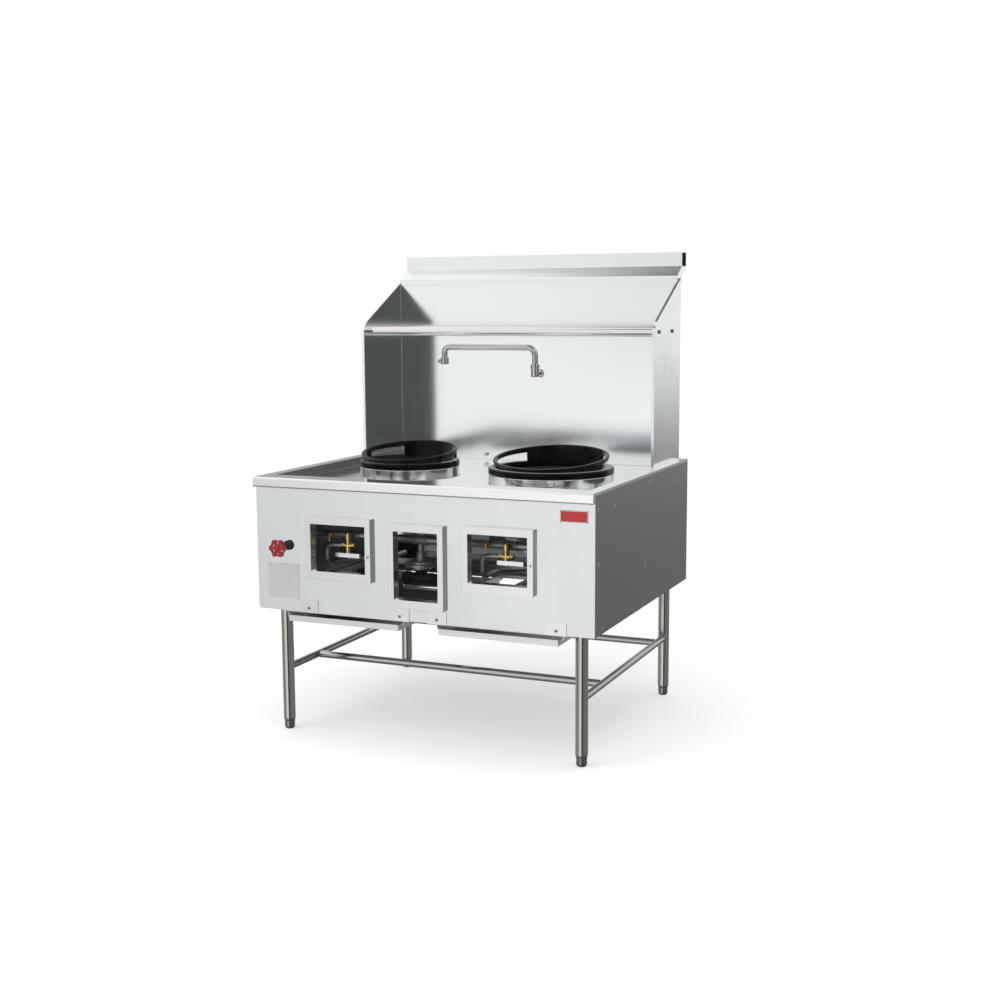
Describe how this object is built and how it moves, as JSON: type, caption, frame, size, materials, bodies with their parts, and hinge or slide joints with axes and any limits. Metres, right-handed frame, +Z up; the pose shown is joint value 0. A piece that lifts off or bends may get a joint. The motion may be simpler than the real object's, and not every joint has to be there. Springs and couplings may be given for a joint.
{
  "type": "wok range",
  "caption": "Gas wok range on tube legs: wet deck with two unequal slanted wok rings, windowed apron, backguard with pipe rack and swing spout, and sliding drip trays.",
  "frame": {"origin": "on the floor, at the centre of the object's bounding box in plan", "axes": "+X to the right as seen from the front, +Y towards the backguard, +Z up"},
  "size_m": [1.219, 1.2102, 1.653],
  "materials": {
    "brushed_steel": "satin, brushed",
    "dark_steel": "satin, brushed, in shade",
    "polished_steel": "bright polished",
    "tube_steel": "bright drawn tube",
    "galvanised": "dull galvanised",
    "black_iron": "cast, seasoned black",
    "brass": "machined",
    "firebrick": "fired refractory, matt",
    "red_paint": "gloss",
    "plate_paint": "bare printed plate blank"
  },
  "bodies": {
    "cabinet": {"leg_front_left": "tube_steel", "leg_front_right": "tube_steel", "leg_rear_left": "tube_steel", "leg_rear_right": "tube_steel", "side_stretcher_left": "tube_steel", "side_stretcher_right": "tube_steel", "cross_bar_front": "tube_steel", "cross_bar_rear": "tube_steel", "base_frame": "galvanised", "front_apron": "brushed_steel", "side_panel_left": "brushed_steel", "side_panel_right": "dark_steel", "rear_panel": "brushed_steel", "window_frame_left": "polished_steel", "window_frame_middle": "polished_steel", "window_frame_right": "polished_steel", "deck_pan": "brushed_steel", "collar_left": "polished_steel", "chamber_drum_left": "galvanised", "chamber_liner_left": "firebrick", "burner_left": "black_iron", "collar_right": "polished_steel", "chamber_drum_right": "galvanised", "chamber_liner_right": "firebrick", "burner_right": "black_iron", "gas_manifold": "black_iron", "gas_regulator": "brass", "gas_inlet_pipe": "tube_steel", "gas_valve_left": "brass", "burner_feed_left": "galvanised", "pilot_valve_left": "brass", "gas_valve_right": "brass", "burner_feed_right": "galvanised", "pilot_valve_right": "brass", "rinse_valve": "dark_steel", "rinse_pipe": "brass", "tray_hanger_left": "polished_steel", "tray_hanger_right": "polished_steel", "back_panel": "brushed_steel", "wing_left": "dark_steel", "wing_right": "brushed_steel", "top_cap": "brushed_steel", "rack_tube_front": "tube_steel", "rack_tube_rear": "tube_steel", "spout_body": "polished_steel", "rating_plate": "plate_paint", "front_badge": "red_paint"},
    "adjusting_foot_front_left": {"foot_front_left": "tube_steel"},
    "adjusting_foot_front_right": {"foot_front_right": "tube_steel"},
    "adjusting_foot_rear_left": {"foot_rear_left": "tube_steel"},
    "adjusting_foot_rear_right": {"foot_rear_right": "tube_steel"},
    "left_wok_ring": {"wok_ring_left": "black_iron"},
    "right_wok_ring": {"wok_ring_right": "black_iron"},
    "left_lever": {"valve_lever_left": "polished_steel"},
    "right_lever": {"valve_lever_right": "polished_steel"},
    "handwheel": {"rinse_handwheel": "red_paint"},
    "spout": {"swing_spout": "polished_steel"},
    "left_tray": {"drip_tray_left": "brushed_steel"},
    "right_tray": {"drip_tray_right": "brushed_steel"}
  },
  "joints": [
    {"name": "foot_screw_front_left", "type": "slide", "parent": "cabinet", "child": "adjusting_foot_front_left", "axis": [0, 0, -1], "range_m": [0, 0.025]},
    {"name": "foot_screw_front_right", "type": "slide", "parent": "cabinet", "child": "adjusting_foot_front_right", "axis": [0, 0, -1], "range_m": [0, 0.025]},
    {"name": "foot_screw_rear_left", "type": "slide", "parent": "cabinet", "child": "adjusting_foot_rear_left", "axis": [0, 0, -1], "range_m": [0, 0.025]},
    {"name": "foot_screw_rear_right", "type": "slide", "parent": "cabinet", "child": "adjusting_foot_rear_right", "axis": [0, 0, -1], "range_m": [0, 0.025]},
    {"name": "left_ring_lift", "type": "slide", "parent": "cabinet", "child": "left_wok_ring", "axis": [0, 0, 1], "range_m": [0, 0.1]},
    {"name": "right_ring_lift", "type": "slide", "parent": "cabinet", "child": "right_wok_ring", "axis": [0, 0, 1], "range_m": [0, 0.1]},
    {"name": "left_valve_turn", "type": "hinge", "parent": "cabinet", "child": "left_lever", "pos_m": [-0.301, -0.4376, 0.62], "axis": [0, 0, -1], "range_deg": [0, 90]},
    {"name": "right_valve_turn", "type": "hinge", "parent": "cabinet", "child": "right_lever", "pos_m": [0.279, -0.4376, 0.633], "axis": [0, 0, -1], "range_deg": [0, 90]},
    {"name": "handwheel_turn", "type": "hinge", "parent": "cabinet", "child": "handwheel", "pos_m": [-0.481, -0.5946, 0.665], "axis": [0, -1, 0], "range_deg": [0, 720]},
    {"name": "spout_swing", "type": "hinge", "parent": "cabinet", "child": "spout", "pos_m": [0.029, 0.4376, 1.222], "axis": [0, 0, 1], "range_deg": [-4, 184]},
    {"name": "left_tray_slide", "type": "slide", "parent": "cabinet", "child": "left_tray", "axis": [0, -1, 0], "range_m": [0, 0.6]},
    {"name": "right_tray_slide", "type": "slide", "parent": "cabinet", "child": "right_tray", "axis": [0, -1, 0], "range_m": [0, 0.6]}
  ]
}
